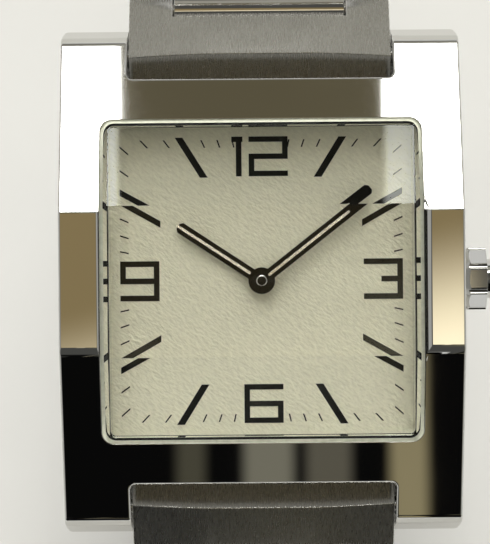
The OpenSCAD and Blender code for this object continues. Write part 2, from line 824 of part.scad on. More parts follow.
module link_outer(side, i) {
    last = is_last(side, i);
    color("darkgray") at_link(side, i) {
        difference() {
            union() {
                crowned(link_top) difference() {
                    across(link_w) {
                        domed_side(link_r + end_gap, last ? link_pitch - link_r - 0.5 : link_pitch,
                            link_dome_r, link_pitch / 2, link_pitch);
                        if (!last) translate([link_pitch, 0]) circle(link_r);
                    }
                    translate([-slot_w / 2, -cut / 2, -cut / 2]) cube([slot_w, 2 * cut, cut]);
                }
                translate([-slot_w / 2 - 0.5, bridge_u[0], -link_r])
                    cube([slot_w + 1, bridge_u[1] - bridge_u[0], 0.8]);
            }
            translate([0, link_pitch, 0]) rod(-link_w, link_w, pin_d / 2 + fixed_gap);
            translate([0, fixing_at[0], fixing_at[1]]) rod(-link_w, link_w, fixing_pin_r + fixed_gap);
        }
        translate([0, fixing_at[0], fixing_at[1]]) rod(-link_w / 2 + 0.2, link_w / 2 - 0.2, fixing_pin_r);
        translate([0, link_pitch, 0]) rod(-link_w / 2 + 0.2, link_w / 2 - 0.2, pin_d / 2);
    }
}

module link_centre(side, i) {
    last = is_last(side, i);
    far = last ? link_pitch : link_pitch - link_r - end_gap;
    color("silver") at_link(side, i) difference() {
        crowned(link_top) across(centre_w) {
            circle(link_r);
            domed_side(0, far, link_dome_r, link_pitch / 2, link_pitch);
            if (last) translate([link_pitch, 0]) circle(link_r);
        }
        rod(-link_w, link_w, pin_d / 2 + pin_gap);
        if (last) translate([0, link_pitch, 0]) rod(-link_w, link_w, pin_d / 2 + fixed_gap);
        translate([0, fixing_at[0], fixing_at[1]]) rod(-link_w, link_w, fixing_pin_r + fixed_gap);
        translate([-link_w / 2, bridge_u[0] - 0.02, -link_r - 1])
            cube([link_w, bridge_u[1] - bridge_u[0] + 0.04, 1.8]);
    }
}

// Clasp: inner blade on the 12 side's last pin, outer blade folded under it, cover below
module knuckle(y, z, r, x0, x1) {
    translate([0, y, z]) rod(x0, x1, r);
}

module clasp_inner_blade() {
    neck = clasp_y - link_r - end_gap;
    fold_end = fold_hinge_y + fold_knuckle_r + side_gap;
    color("silver") difference() {
        union() {
            translate([-blade_w / 2, fold_end, inner_blade_z]) cube([blade_w, neck - fold_end, blade_t]);
            translate([-centre_w / 2, neck - 1, inner_blade_z]) cube([centre_w, clasp_y - neck + 1, blade_t]);
            knuckle(clasp_y, clasp_pin_z, link_r, -centre_w / 2, centre_w / 2);
            translate([-3, fold_hinge_y, inner_blade_z]) cube([6, 2, blade_t]);
            knuckle(fold_hinge_y, fold_hinge_z, fold_knuckle_r, -3, 3);
        }
        knuckle(clasp_y, clasp_pin_z, pin_d / 2 + pin_gap, -link_w, link_w);
        knuckle(fold_hinge_y, fold_hinge_z, blade_pin_d / 2 + pin_gap, -link_w, link_w);
        blade_reliefs(post_x + 2);
    }
}

// Notches for the push buttons and windows for their posts
module blade_reliefs(window_x) {
    notch_x = pad_x - button_travel - 0.2;
    window_in = post_x - button_travel - 0.5;
    for (x = [-1, 1]) {
        translate([x * (notch_x + cut / 2), button_y, 0])
            cube([cut, button_l + 2 * button_clear, cut], center = true);
        translate([x * (window_x + window_in) / 2, button_y, 0])
            cube([window_x - window_in, post_l + 0.8, cut], center = true);
    }
    for (i = [1, 2]) translate([0, button_y + i * relief_step, 0]) cube([relief, relief, cut], center = true);
}

module clasp_outer_blade() {
    fold_end = fold_hinge_y + fold_knuckle_r + side_gap;
    color("silver") {
        difference() {
            union() {
                translate([-blade_w / 2, fold_end, outer_blade_z]) cube([blade_w, cover_hinge_y - fold_end, blade_t]);
                knuckle(cover_hinge_y, cover_hinge_z, cover_knuckle_r, -blade_w / 2, blade_w / 2);
                for (x = [-1, 1]) translate([x * (3.1 + fold_knuckle_x) / 2, 0, 0]) {
                    w = fold_knuckle_x - 3.1;
                    knuckle(fold_hinge_y, fold_hinge_z, fold_knuckle_r, -w / 2, w / 2);
                    translate([-w / 2, fold_hinge_y, outer_blade_z]) cube([w, 2, blade_t]);
                }
            }
            knuckle(fold_hinge_y, fold_hinge_z, blade_pin_d / 2 + fixed_gap, -link_w, link_w);
            knuckle(cover_hinge_y, cover_hinge_z, blade_pin_d / 2 + pin_gap, -link_w, link_w);
            blade_reliefs(post_x + 1.2);
        }
        knuckle(fold_hinge_y, fold_hinge_z, blade_pin_d / 2, 0.1 - fold_knuckle_x, fold_knuckle_x - 0.1);
    }
}

module cover_side(y0) {
    difference() {
        union() {
            translate([y0, 0]) square([cover_hinge_y - y0, clasp_h]);
            translate([cover_hinge_y, cover_hinge_z]) circle(cover_hinge_z);
            translate([cover_hinge_y, cover_hinge_z]) square([cover_hinge_z, clasp_h - cover_hinge_z - 1]);
            translate([cover_hinge_y, clasp_h - 1]) circle(1);
        }
        translate([y0, 0]) rotate(45) square(1.2, center = true);
    }
}

module clasp_cover() {
    near = -(clasp_y - pin_d / 2 - 0.3);
    plate_near = -(clasp_y - link_r - end_gap);
    plate_far = cover_hinge_y - 1;
    groove_in = post_x - button_travel - 0.2;
    groove_out = link_w / 2 - wall_t;
    color("silver") {
        difference() {
            union() {
                across(link_w) cover_side(near);
            }
            translate([-link_w / 2 + wall_t, plate_near + wall_t, cover_t])
                cube([link_w - 2 * wall_t, cut * 4, cut]);
            translate([-link_w / 2 + wall_t, near - 1, -1]) cube([link_w - 2 * wall_t, plate_near - near + 1, cut]);
            translate([-link_w / 2 + wall_t, plate_far, -1]) cube([link_w - 2 * wall_t, cut, cut]);
            translate([-link_w / 2 + wall_t, plate_near, clasp_h - 0.4])
                cube([link_w - 2 * wall_t, wall_t + 1, cut]);
            for (x = [-1, 1]) {
                translate([x * link_w / 2, button_y, cover_t + 0.85])
                    cube([2 * wall_t + 0.1, button_l + 0.2, 1.7], center = true);
                translate([x * (groove_in + groove_out) / 2, button_y, cover_t])
                    cube([groove_out - groove_in, post_l + 0.2, 1.2], center = true);
                translate([x * link_w / 2, 0, 0]) rotate([0, 45, 0]) cube([0.7, cut * 4, 0.7], center = true);
            }
            knuckle(cover_hinge_y, cover_hinge_z, blade_pin_d / 2 + fixed_gap, -link_w, link_w);
        }
        knuckle(cover_hinge_y, cover_hinge_z, blade_pin_d / 2, -link_w / 2 + 0.1, link_w / 2 - 0.1);
    }
}

// Push button: a pad in the side wall, a stem in the cover's groove and a post in the blades' windows
module push_button() {
    stem_z0 = cover_t - 0.55;
    translate([pad_x, button_y - button_l / 2, cover_t + 0.1]) cube([button_x - pad_x, button_l, 1.5]);
    translate([pad_x, button_y - post_l / 2, stem_z0]) cube([0.5, post_l, 1]);
    translate([post_x, button_y - post_l / 2, stem_z0]) cube([pad_x + 0.5 - post_x, post_l, 0.5]);
    translate([post_x, button_y - post_l / 2, stem_z0]) cube([0.9, post_l, 2.25 - stem_z0]);
}

module clasp_button_right() {
    color("silver") push_button();
}

module clasp_button_left() {
    color("silver") mirror([1, 0, 0]) push_button();
}

case_body();
crystal();
crystal_gasket();
case_back();
back_gasket();
back_screws();
dial();
dial_markers();
hour_hand();
minute_hand();
movement_holder();
mainplate();
train_bridge();
bridge_screws();
battery();
battery_clamp();
circuit_board();
coil();
stator();
rotor();
intermediate_wheel();
center_wheel();
cannon_pinion();
minute_wheel();
hour_wheel();
crown();
stem();
crown_gasket();
crown_tube();
sliding_pinion();
spring_bars();
end_link_12();
end_link_6();
for (side = [12, 6], i = [1:links]) {
    link_outer(side, i);
    link_centre(side, i);
}
clasp_inner_blade();
clasp_outer_blade();
clasp_cover();
clasp_button_left();
clasp_button_right();
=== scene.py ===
import json
import math

import bmesh
import bpy
from mathutils import Matrix, Vector


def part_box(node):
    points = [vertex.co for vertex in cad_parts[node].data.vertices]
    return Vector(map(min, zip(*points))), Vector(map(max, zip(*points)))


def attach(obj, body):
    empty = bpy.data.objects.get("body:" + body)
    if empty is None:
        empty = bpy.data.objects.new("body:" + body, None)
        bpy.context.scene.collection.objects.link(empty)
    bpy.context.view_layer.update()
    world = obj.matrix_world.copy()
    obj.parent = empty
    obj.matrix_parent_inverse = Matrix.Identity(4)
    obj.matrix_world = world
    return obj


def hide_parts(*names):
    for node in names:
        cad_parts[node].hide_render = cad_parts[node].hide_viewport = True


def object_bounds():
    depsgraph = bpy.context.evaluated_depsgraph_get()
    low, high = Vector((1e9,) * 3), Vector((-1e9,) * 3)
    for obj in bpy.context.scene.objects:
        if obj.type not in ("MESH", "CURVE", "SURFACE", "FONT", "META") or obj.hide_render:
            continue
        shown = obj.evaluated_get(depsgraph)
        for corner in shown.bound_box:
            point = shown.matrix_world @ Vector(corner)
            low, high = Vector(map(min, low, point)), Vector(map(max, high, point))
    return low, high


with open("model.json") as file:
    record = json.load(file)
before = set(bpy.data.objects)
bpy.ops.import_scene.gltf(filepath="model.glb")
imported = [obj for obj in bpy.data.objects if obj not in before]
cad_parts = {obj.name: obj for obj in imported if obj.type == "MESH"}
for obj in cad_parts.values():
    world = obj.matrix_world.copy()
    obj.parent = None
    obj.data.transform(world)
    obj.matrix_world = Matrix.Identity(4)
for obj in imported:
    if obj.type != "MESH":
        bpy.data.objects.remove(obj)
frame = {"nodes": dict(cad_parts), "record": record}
cad_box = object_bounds()
MM = 0.001

# ---------------------------------------------------------------- case body
# One block of stainless steel with its four lugs. Its front is cut to three flat facets and
# mirror polished by hand, so the arrises are a little softened and the flats faintly wavy.


def new_finish(name):
    material = bpy.data.materials.new(name)
    material.use_nodes = True
    return material


def add_node(material, kind, **values):
    node = material.node_tree.nodes.new(kind)
    for key, value in values.items():
        if hasattr(node, key):
            setattr(node, key, value)
        else:
            node.inputs[key.replace("_", " ")].default_value = value
    return node


def join(material, output, socket):
    material.node_tree.links.new(output, socket)


def shader_of(material):
    return material.node_tree.nodes["Principled BSDF"]


def grain(material, size_mm, detail=3.0, along=(1, 1, 1), turn=(0, 0, 0)):
    """Noise with grains of about size_mm, drawn out by the factors along."""
    place = add_node(material, "ShaderNodeTexCoord")
    turned = add_node(material, "ShaderNodeMapping")
    turned.inputs["Rotation"].default_value = turn
    stretched = add_node(material, "ShaderNodeMapping")
    stretched.inputs["Scale"].default_value = [1 / a for a in along]
    noise = add_node(material, "ShaderNodeTexNoise", Scale=1 / (size_mm * MM), Detail=detail)
    join(material, place.outputs["Object"], turned.inputs["Vector"])
    join(material, turned.outputs["Vector"], stretched.inputs["Vector"])
    join(material, stretched.outputs["Vector"], noise.inputs["Vector"])
    return noise.outputs["Fac"]


def colour_between(material, amount, dark, light, low=0.35, high=0.65):
    ramp = add_node(material, "ShaderNodeValToRGB")
    ramp.color_ramp.elements[0].position = low
    ramp.color_ramp.elements[0].color = (*dark, 1)
    ramp.color_ramp.elements[1].position = high
    ramp.color_ramp.elements[1].color = (*light, 1)
    join(material, amount, ramp.inputs["Fac"])
    join(material, ramp.outputs["Color"], shader_of(material).inputs["Base Color"])


def roughness_between(material, amount, low, high):
    span = add_node(material, "ShaderNodeMapRange")
    span.inputs["From Min"].default_value = 0.3
    span.inputs["From Max"].default_value = 0.7
    span.inputs["To Min"].default_value = low
    span.inputs["To Max"].default_value = high
    join(material, amount, span.inputs["Value"])
    join(material, span.outputs["Result"], shader_of(material).inputs["Roughness"])


def relief(material, amount, height_mm, strength=1.0):
    bump = add_node(material, "ShaderNodeBump", Strength=strength, Distance=height_mm * MM)
    join(material, amount, bump.inputs["Height"])
    join(material, bump.outputs["Normal"], shader_of(material).inputs["Normal"])


def metal(name, dark, light, rough):
    material = new_finish(name)
    shader_of(material).inputs["Metallic"].default_value = 1.0
    cloud = grain(material, 6, detail=1)
    colour_between(material, cloud, dark, light, 0.2, 0.8)
    roughness_between(material, cloud, *rough)
    return material


BODY_OF = {
    node: body
    for body, members in frame["record"]["behaviour"]["bodies"].items()
    for node in members
}


MERGE_WITHIN = 1e-6
FLAT_WITHIN = 0.5  # degrees: faces that turn less become one
SMOOTH_BELOW = 14  # degrees: less of a turn is shaded as a curve
SHARP_ABOVE = 35  # degrees: more of a turn is an edge that gets softened


def finished(node, material, edge_mm, segments=2, weigh=None):
    """The CAD solid as a merged copy with softened edges, which takes the node's place.

    weigh gives each edge its share of the softening; without it, all sharp edges get the same.
    """
    mesh = frame["nodes"][node].data.copy()
    mesh.name = node + "_skin"
    mesh.materials.clear()
    mesh.materials.append(material)
    shape = bmesh.new()
    shape.from_mesh(mesh)
    bmesh.ops.remove_doubles(shape, verts=shape.verts, dist=MERGE_WITHIN)
    bmesh.ops.dissolve_limit(
        shape, angle_limit=math.radians(FLAT_WITHIN), verts=shape.verts, edges=shape.edges
    )
    for edge in shape.edges:
        shared = len(edge.link_faces) == 2
        edge.smooth = shared and edge.calc_face_angle() < math.radians(SMOOTH_BELOW)
    for face in shape.faces:
        face.smooth = True
    if weigh:
        share = shape.edges.layers.float.new("bevel_weight_edge")
        for edge in shape.edges:
            edge[share] = weigh(edge)
    shape.to_mesh(mesh)
    shape.free()
    piece = bpy.data.objects.new(node + "_finished", mesh)
    bpy.context.scene.collection.objects.link(piece)
    if edge_mm:
        soft = piece.modifiers.new("softened_edges", "BEVEL")
        soft.width = edge_mm * MM
        soft.segments = segments
        soft.limit_method = "WEIGHT" if weigh else "ANGLE"
        soft.angle_limit = math.radians(SHARP_ABOVE)
        soft.use_clamp_overlap = not weigh
    level = piece.modifiers.new("flats_stay_flat", "WEIGHTED_NORMAL")
    level.weight = 100
    level.keep_sharp = True
    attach(piece, BODY_OF[node])
    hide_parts(node)
    return piece


CASE_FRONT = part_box("case_body")[1].z
NO_EDGE = 12  # degrees
RIDGE_AT_MOST = 25  # degrees: the two ridges between the front's facets
POLISHED_DEPTH = 6.5  # mm below the front
OPENING = (12.3, 12.5)  # mm from the middle, with the lip
LIP = (11.9, 2.0)  # mm: the sides of the opening in the middle facet
LIP_DEPTH = 2.4  # mm below the front
RIGHT_LIP, LEFT_LIP, LOWER_RIDGE, LUGS, LEAST = 1.0, 0.4, 0.64, 0.3, 0.1


def case_edge(edge):
    """Polishing rounds the opening's right side most, then the lower ridge and the lugs."""
    if len(edge.link_faces) != 2:
        return 0.0
    turn = math.degrees(edge.calc_face_angle())
    middle = (edge.verts[0].co + edge.verts[1].co) / 2 / MM
    below = CASE_FRONT / MM - min(v.co.z for v in edge.verts) / MM
    if turn < NO_EDGE or below > POLISHED_DEPTH:
        return 0.0
    if turn < RIDGE_AT_MOST:
        return LOWER_RIDGE if middle.y < 0 else LEAST
    if abs(middle.x) < OPENING[0] and abs(middle.y) < OPENING[1]:
        if below < LIP_DEPTH and abs(middle.x) > LIP[0] and abs(middle.y) < LIP[1]:
            return RIGHT_LIP if middle.x > 0 else LEFT_LIP
        return LEAST
    return LUGS


CASE_EDGE_MM = 0.55
mirror_steel = metal("mirror_steel", (0.62, 0.615, 0.59), (0.64, 0.635, 0.61), (0.014, 0.022))
relief(mirror_steel, grain(mirror_steel, 2.5, detail=1), 0.0003, 0.3)
finished("case_body", mirror_steel, CASE_EDGE_MM, 3, case_edge)

# ---------------------------------------------------------------- case back
# A stamped steel plate let into the case, brushed straight along the watch, drawn down on a
# square rubber seal by four countersunk screws at its corners.


LINE_LENGTH = 14  # times its width
SATIN_GRAIN = 3  # times a line's width


def brushed(name, dark, light, rough, lines_mm=0.05):
    """Satin steel with fine short lines along the band, and a plain satin on its sides."""
    material = new_finish(name)
    shader_of(material).inputs["Metallic"].default_value = 1.0
    along_band = grain(material, lines_mm, detail=3, along=(1, LINE_LENGTH, LINE_LENGTH))
    satin = grain(material, SATIN_GRAIN * lines_mm, detail=1)
    place = add_node(material, "ShaderNodeTexCoord")
    facing = add_node(material, "ShaderNodeSeparateXYZ")
    join(material, place.outputs["Normal"], facing.inputs["Vector"])
    is_side = add_node(material, "ShaderNodeMath", operation="ABSOLUTE")
    join(material, facing.outputs["X"], is_side.inputs[0])
    either = add_node(material, "ShaderNodeMix")
    join(material, is_side.outputs[0], either.inputs["Factor"])
    join(material, along_band, either.inputs["A"])
    join(material, satin, either.inputs["B"])
    lines = either.outputs["Result"]
    colour_between(material, lines, dark, light)
    roughness_between(material, lines, *rough)
    relief(material, lines, 0.002, 0.4)
    return material


back_steel = brushed("back_steel", (0.50, 0.50, 0.485), (0.56, 0.56, 0.54), (0.22, 0.27))
finished("case_back", back_steel, 0.08)

screw_steel = metal("screw_steel", (0.46, 0.46, 0.46), (0.55, 0.55, 0.54), (0.12, 0.22))
finished("back_screws", screw_steel, 0.03)

seal_rubber = new_finish("seal_rubber")
rubber_dust = grain(seal_rubber, 0.3)
colour_between(seal_rubber, rubber_dust, (0.018, 0.018, 0.018), (0.032, 0.032, 0.03))
shader_of(seal_rubber).inputs["Roughness"].default_value = 0.62
relief(seal_rubber, grain(seal_rubber, 0.08), 0.004, 0.4)


def paint_node(node, material):
    """Puts a finish on a CAD solid that is right as it is."""
    mesh = frame["nodes"][node].data
    mesh.materials.clear()
    mesh.materials.append(material)


paint_node("back_gasket", seal_rubber)

# ---------------------------------------------------------------- movement frame
# A moulded ring centres the quartz works in the square case. The works are built between a
# brass mainplate and a bridge held by screws.
ring_plastic = new_finish("ring_plastic")
moulding = grain(ring_plastic, 0.5)
colour_between(ring_plastic, moulding, (0.085, 0.085, 0.09), (0.13, 0.13, 0.135))
shader_of(ring_plastic).inputs["Roughness"].default_value = 0.45
relief(ring_plastic, grain(ring_plastic, 0.12), 0.006, 0.4)
paint_node("movement_holder", ring_plastic)

plate_brass = metal("plate_brass", (0.66, 0.50, 0.22), (0.76, 0.60, 0.29), (0.2, 0.32))
relief(plate_brass, grain(plate_brass, 0.06, along=(25, 1, 1)), 0.003, 0.5)
finished("mainplate", plate_brass, 0)
finished("train_bridge", plate_brass, 0.04)
finished("bridge_screws", screw_steel, 0.02)

# ---------------------------------------------------------------- battery and circuit
# A steel button cell held by a spring clamp, and a fibreglass board with its crystal can.
cell_steel = metal("cell_steel", (0.52, 0.52, 0.51), (0.62, 0.62, 0.61), (0.18, 0.28))
relief(cell_steel, grain(cell_steel, 0.09), 0.003, 0.4)
finished("battery", cell_steel, 0.1)
finished("battery_clamp", screw_steel, 0)

board_mask = new_finish("board_mask")
weave = grain(board_mask, 0.25, detail=5)
colour_between(board_mask, weave, (0.02, 0.15, 0.055), (0.05, 0.25, 0.10))
shader_of(board_mask).inputs["Roughness"].default_value = 0.35
shader_of(board_mask).inputs["Coat Weight"].default_value = 0.3
relief(board_mask, grain(board_mask, 0.1), 0.004, 0.3)
paint_node("circuit_board", board_mask)

# ---------------------------------------------------------------- motor
# Enamelled copper wire on an iron core, the iron stator plate and the small magnet rotor that
# it turns one step at a time.
wire_enamel = new_finish("wire_enamel")
shader_of(wire_enamel).inputs["Metallic"].default_value = 0.7
shader_of(wire_enamel).inputs["Roughness"].default_value = 0.3
turns = grain(wire_enamel, 0.05, detail=1, along=(1, 60, 60))
colour_between(wire_enamel, turns, (0.28, 0.09, 0.03), (0.62, 0.26, 0.10))
relief(wire_enamel, turns, 0.02, 0.7)
paint_node("coil", wire_enamel)

iron_sheet = metal("iron_sheet", (0.27, 0.27, 0.28), (0.36, 0.36, 0.37), (0.35, 0.5))
relief(iron_sheet, grain(iron_sheet, 0.1), 0.004, 0.5)
paint_node("stator", iron_sheet)
paint_node("rotor", iron_sheet)

# ---------------------------------------------------------------- wheels
# Stamped brass wheels with cut teeth. The centre wheel carries the cannon pinion, which drives
# the minute wheel and, through it, the hour wheel.
wheel_brass = metal("wheel_brass", (0.68, 0.53, 0.25), (0.80, 0.65, 0.34), (0.1, 0.2))
relief(wheel_brass, grain(wheel_brass, 0.07), 0.002, 0.4)
for wheel in ("intermediate_wheel", "center_wheel", "minute_wheel", "hour_wheel"):
    paint_node(wheel, wheel_brass)
paint_node("sliding_pinion", screw_steel)

# ---------------------------------------------------------------- dial
# A brass disc with a pressed fine slanting grain under cream lacquer. The numerals, hour marks
# and minute ticks are pad-printed in black and stand a few hundredths proud.
dial_lacquer = new_finish("dial_lacquer")
shader_of(dial_lacquer).inputs["Roughness"].default_value = 0.48
shader_of(dial_lacquer).inputs["Specular IOR Level"].default_value = 0.4
pressed = grain(dial_lacquer, 0.2, detail=2, along=(1.9, 1, 1), turn=(0, 0, math.radians(38)))
colour_between(dial_lacquer, pressed, (0.80, 0.78, 0.615), (0.87, 0.85, 0.67))
relief(dial_lacquer, pressed, 0.09, 1.0)
finished("dial", dial_lacquer, 0)

dial_ink = new_finish("dial_ink")
ink_speck = grain(dial_ink, 0.1)
colour_between(dial_ink, ink_speck, (0.002, 0.002, 0.002), (0.005, 0.005, 0.004))
shader_of(dial_ink).inputs["Roughness"].default_value = 0.5
shader_of(dial_ink).inputs["Specular IOR Level"].default_value = 0.15
relief(dial_ink, grain(dial_ink, 0.12), 0.004, 0.4)
paint_node("dial_markers", dial_ink)

# ---------------------------------------------------------------- hands
# Two straight steel hands in black lacquer. Each has one bright line let in along its middle;
# the cannon pinion's end shows as a dark cap in a bright ring.
HOUR_ANGLE = 303.5  # degrees clockwise from 12
MINUTE_ANGLE = 52
hand_lacquer = new_finish("hand_lacquer")
lacquer_speck = grain(hand_lacquer, 0.2)
colour_between(hand_lacquer, lacquer_speck, (0.0015, 0.0015, 0.0015), (0.004, 0.004, 0.004))
shader_of(hand_lacquer).inputs["Roughness"].default_value = 0.3
shader_of(hand_lacquer).inputs["Specular IOR Level"].default_value = 0.08
relief(hand_lacquer, grain(hand_lacquer, 0.15), 0.002, 0.3)
finished("hour_hand", hand_lacquer, 0.04)
finished("minute_hand", hand_lacquer, 0.04)
paint_node("cannon_pinion", screw_steel)

bright_line = metal("bright_line", (0.80, 0.80, 0.77), (0.90, 0.90, 0.87), (0.2, 0.3))
relief(bright_line, grain(bright_line, 0.04), 0.001, 0.3)


def as_piece(name, shape, material, body):
    mesh = bpy.data.meshes.new(name)
    bmesh.ops.recalc_face_normals(shape, faces=shape.faces)
    shape.to_mesh(mesh)
    shape.free()
    mesh.materials.append(material)
    piece = bpy.data.objects.new(name, mesh)
    bpy.context.scene.collection.objects.link(piece)
    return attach(piece, body)


LINE_RADIUS = 0.11 * MM
LINE_THICK = 0.03 * MM
LINE_ROUNDING = 0.01 * MM
LINE_SUNK = 0.015 * MM


def hand_line(name, hand, angle, start_mm, end_mm, body):
    """A round-ended bright line along the middle of a hand."""
    shape = bmesh.new()
    bmesh.ops.create_circle(shape, cap_ends=True, segments=20, radius=LINE_RADIUS)
    far = [v for v in shape.verts if v.co.y > 1e-9]
    bmesh.ops.translate(shape, verts=shape.verts, vec=(0, start_mm * MM, 0))
    bmesh.ops.translate(shape, verts=far, vec=(0, (end_mm - start_mm) * MM, 0))
    raised = bmesh.ops.extrude_face_region(shape, geom=shape.faces[:])["geom"]
    top = [v for v in raised if isinstance(v, bmesh.types.BMVert)]
    bmesh.ops.translate(shape, verts=top, vec=(0, 0, LINE_THICK))
    edges = [e for e in raised if isinstance(e, bmesh.types.BMEdge)]
    bmesh.ops.bevel(
        shape,
        geom=edges,
        offset=LINE_ROUNDING,
        affect="EDGES",
        segments=1,
        profile=0.5,
        material=-1,
    )
    turn = Matrix.Rotation(math.radians(-angle), 3, "Z")
    bmesh.ops.rotate(shape, verts=shape.verts, matrix=turn)
    hand_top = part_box(hand)[1][2]
    bmesh.ops.translate(shape, verts=shape.verts, vec=(0, 0, hand_top - LINE_SUNK))
    as_piece(name, shape, bright_line, body)


hand_line("hour_hand_line", "hour_hand", HOUR_ANGLE, 1.05, 7.5, "hour_works")
hand_line("minute_hand_line", "minute_hand", MINUTE_ANGLE, 0.75, 8.3, "minute_works")

PINION_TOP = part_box("cannon_pinion")[1][2]


def turned_on_pinion(name, profile_mm, closed, material):
    """A part turned about the hands' axis, from the radius and height of its profile's points."""
    shape = bmesh.new()
    points = [shape.verts.new((r * MM, 0, PINION_TOP + z * MM)) for r, z in profile_mm]
    ends = points[1:] + points[:1] if closed else points[1:]
    line = [shape.edges.new(pair) for pair in zip(points, ends)]
    bmesh.ops.spin(
        shape,
        geom=points + line,
        cent=(0, 0, 0),
        axis=(0, 0, 1),
        angle=math.tau,
        steps=48,
        use_merge=True,
    )
    bmesh.ops.remove_doubles(shape, verts=shape.verts, dist=1e-8)
    bmesh.ops.holes_fill(shape, edges=[e for e in shape.edges if e.is_boundary])
    as_piece(name, shape, material, "minute_works")


RING_PROFILE = ((0.33, 0.0), (0.4, 0.0), (0.4, 0.03), (0.37, 0.05), (0.33, 0.04))
CAP_PROFILE = ((0, 0.05), (0.17, 0.046), (0.28, 0.03), (0.33, 0.01), (0.33, -0.02))
turned_on_pinion("hub_ring", RING_PROFILE, True, bright_line)
turned_on_pinion("hub_cap", CAP_PROFILE, False, hand_lacquer)

# ---------------------------------------------------------------- crystal
# Mineral glass ground to the same three facets as the case, with a narrow polished bevel all
# round, coated against glare and pressed into a clear gasket. Its facets shift what lies below.
mineral_glass = new_finish("mineral_glass")
glass = shader_of(mineral_glass)
glass.inputs["Base Color"].default_value = (0.985, 0.99, 0.98, 1)
glass.inputs["Transmission Weight"].default_value = 1.0
glass.inputs["Roughness"].default_value = 0.0
glass.inputs["IOR"].default_value = 1.52
glass.inputs["Specular Tint"].default_value = (0.35, 0.36, 0.34, 1)
relief(mineral_glass, grain(mineral_glass, 3.0, detail=1), 0.0002, 0.2)
finished("crystal", mineral_glass, 0)

clear_gasket = new_finish("clear_gasket")
cloudiness = grain(clear_gasket, 0.4)
colour_between(clear_gasket, cloudiness, (0.66, 0.68, 0.56), (0.76, 0.78, 0.66))
shader_of(clear_gasket).inputs["Roughness"].default_value = 0.4
relief(clear_gasket, grain(clear_gasket, 0.2), 0.003, 0.3)
paint_node("crystal_gasket", clear_gasket)

# ---------------------------------------------------------------- crown
# A steel crown screwed on its stem. It runs on a tube pressed into the case, sealed by a small
# ring, and its flats and end cap are polished.
crown_steel = metal("crown_steel", (0.56, 0.555, 0.53), (0.64, 0.635, 0.61), (0.03, 0.06))
relief(crown_steel, grain(crown_steel, 0.06), 0.0006, 0.4)
finished("crown", crown_steel, 0.22, 3)
paint_node("crown_tube", screw_steel)
paint_node("stem", screw_steel)
paint_node("crown_gasket", seal_rubber)

# ---------------------------------------------------------------- spring bars
# Plain steel bars through the end links, their thin tips in the lugs' blind holes.
finished("spring_bars", screw_steel, 0.05)

# ---------------------------------------------------------------- bracelet
# Each link is a brushed outer piece, milled from bar, with a polished centre piece between its
# cheeks; fixed pins join it to the next. The end links fill the space between the lugs.
band_brushed = brushed("band_brushed", (0.50, 0.49, 0.46), (0.57, 0.56, 0.53), (0.25, 0.3))
band_polished = metal("band_polished", (0.62, 0.61, 0.585), (0.66, 0.65, 0.625), (0.06, 0.09))
relief(band_polished, grain(band_polished, 0.06, along=(1, 20, 20)), 0.0006, 0.5)
for side in ("12", "6"):
    finished("end_link_" + side, band_brushed, 0.12)
    for number in range(1, 6):
        finished(f"link_{side}_{number}_outer", band_brushed, 0.12)
        finished(f"link_{side}_{number}_centre", band_polished, 0.12)

# ---------------------------------------------------------------- clasp
# Two stamped blades fold under a brushed cover, which two sprung push buttons on its sides
# keep shut.
blade_steel = metal("blade_steel", (0.55, 0.545, 0.52), (0.63, 0.625, 0.60), (0.1, 0.18))
relief(blade_steel, grain(blade_steel, 0.06, along=(1, 20, 20)), 0.001, 0.5)
finished("clasp_inner_blade", blade_steel, 0.08)
finished("clasp_outer_blade", blade_steel, 0.08)
finished("clasp_cover", band_brushed, 0.15, 3)
finished("clasp_button_left", crown_steel, 0.1)
finished("clasp_button_right", crown_steel, 0.1)

# ---------------------------------------------------------------- floor
# A plain pale table that the closed watch stands on.
table_pale = new_finish("table_pale")
colour_between(table_pale, grain(table_pale, 40), (0.60, 0.60, 0.59), (0.63, 0.63, 0.62))
shader_of(table_pale).inputs["Roughness"].default_value = 0.8
shader_of(table_pale).inputs["Specular IOR Level"].default_value = 0.2
HALF_TABLE = 0.8
TABLE_GAP = 0.05 * MM
table_shape = bmesh.new()
bmesh.ops.create_grid(table_shape, x_segments=2, y_segments=2, size=HALF_TABLE)
table_top = cad_box[0][2] - TABLE_GAP
bmesh.ops.translate(table_shape, verts=table_shape.verts, vec=(0, 0, table_top))
table_mesh = bpy.data.meshes.new("table")
table_shape.to_mesh(table_mesh)
table_shape.free()
table_mesh.materials.append(table_pale)
table = bpy.data.objects.new("table", table_mesh)
bpy.context.scene.collection.objects.link(table)

# ---------------------------------------------------------------- studio light
# Two softboxes stand beyond the 12 o'clock side with a dark gap between them, a warm ceiling
# hangs overhead, and the room is dark beyond 6 o'clock. Low down, all round, it is pale.
studio = bpy.data.worlds.new("studio")
studio.use_nodes = True
bpy.context.scene.world = studio
background = studio.node_tree.nodes["Background"]


def sky_node(kind):
    return studio.node_tree.nodes.new(kind)


def sky_link(value, socket):
    if isinstance(value, bpy.types.NodeSocket):
        studio.node_tree.links.new(value, socket)
    else:
        socket.default_value = value


def calc(operation, a, b=0.0):
    node = sky_node("ShaderNodeMath")
    node.operation = operation
    sky_link(a, node.inputs[0])
    sky_link(b, node.inputs[1])
    return node.outputs[0]


def rise(value, start, end):
    """0 below start and 1 above end, smoothly."""
    node = sky_node("ShaderNodeMapRange")
    node.interpolation_type = "SMOOTHSTEP"
    sky_link(value, node.inputs["Value"])
    node.inputs["From Min"].default_value = start
    node.inputs["From Max"].default_value = end
    return node.outputs["Result"]


def within(value, span, soft):
    """1 inside the span and 0 outside, changing over soft to both sides of each end."""
    start, end = span
    past_start = rise(value, start - soft, start + soft)
    past_end = rise(value, end - soft, end + soft)
    return calc("MULTIPLY", past_start, calc("SUBTRACT", 1.0, past_end))


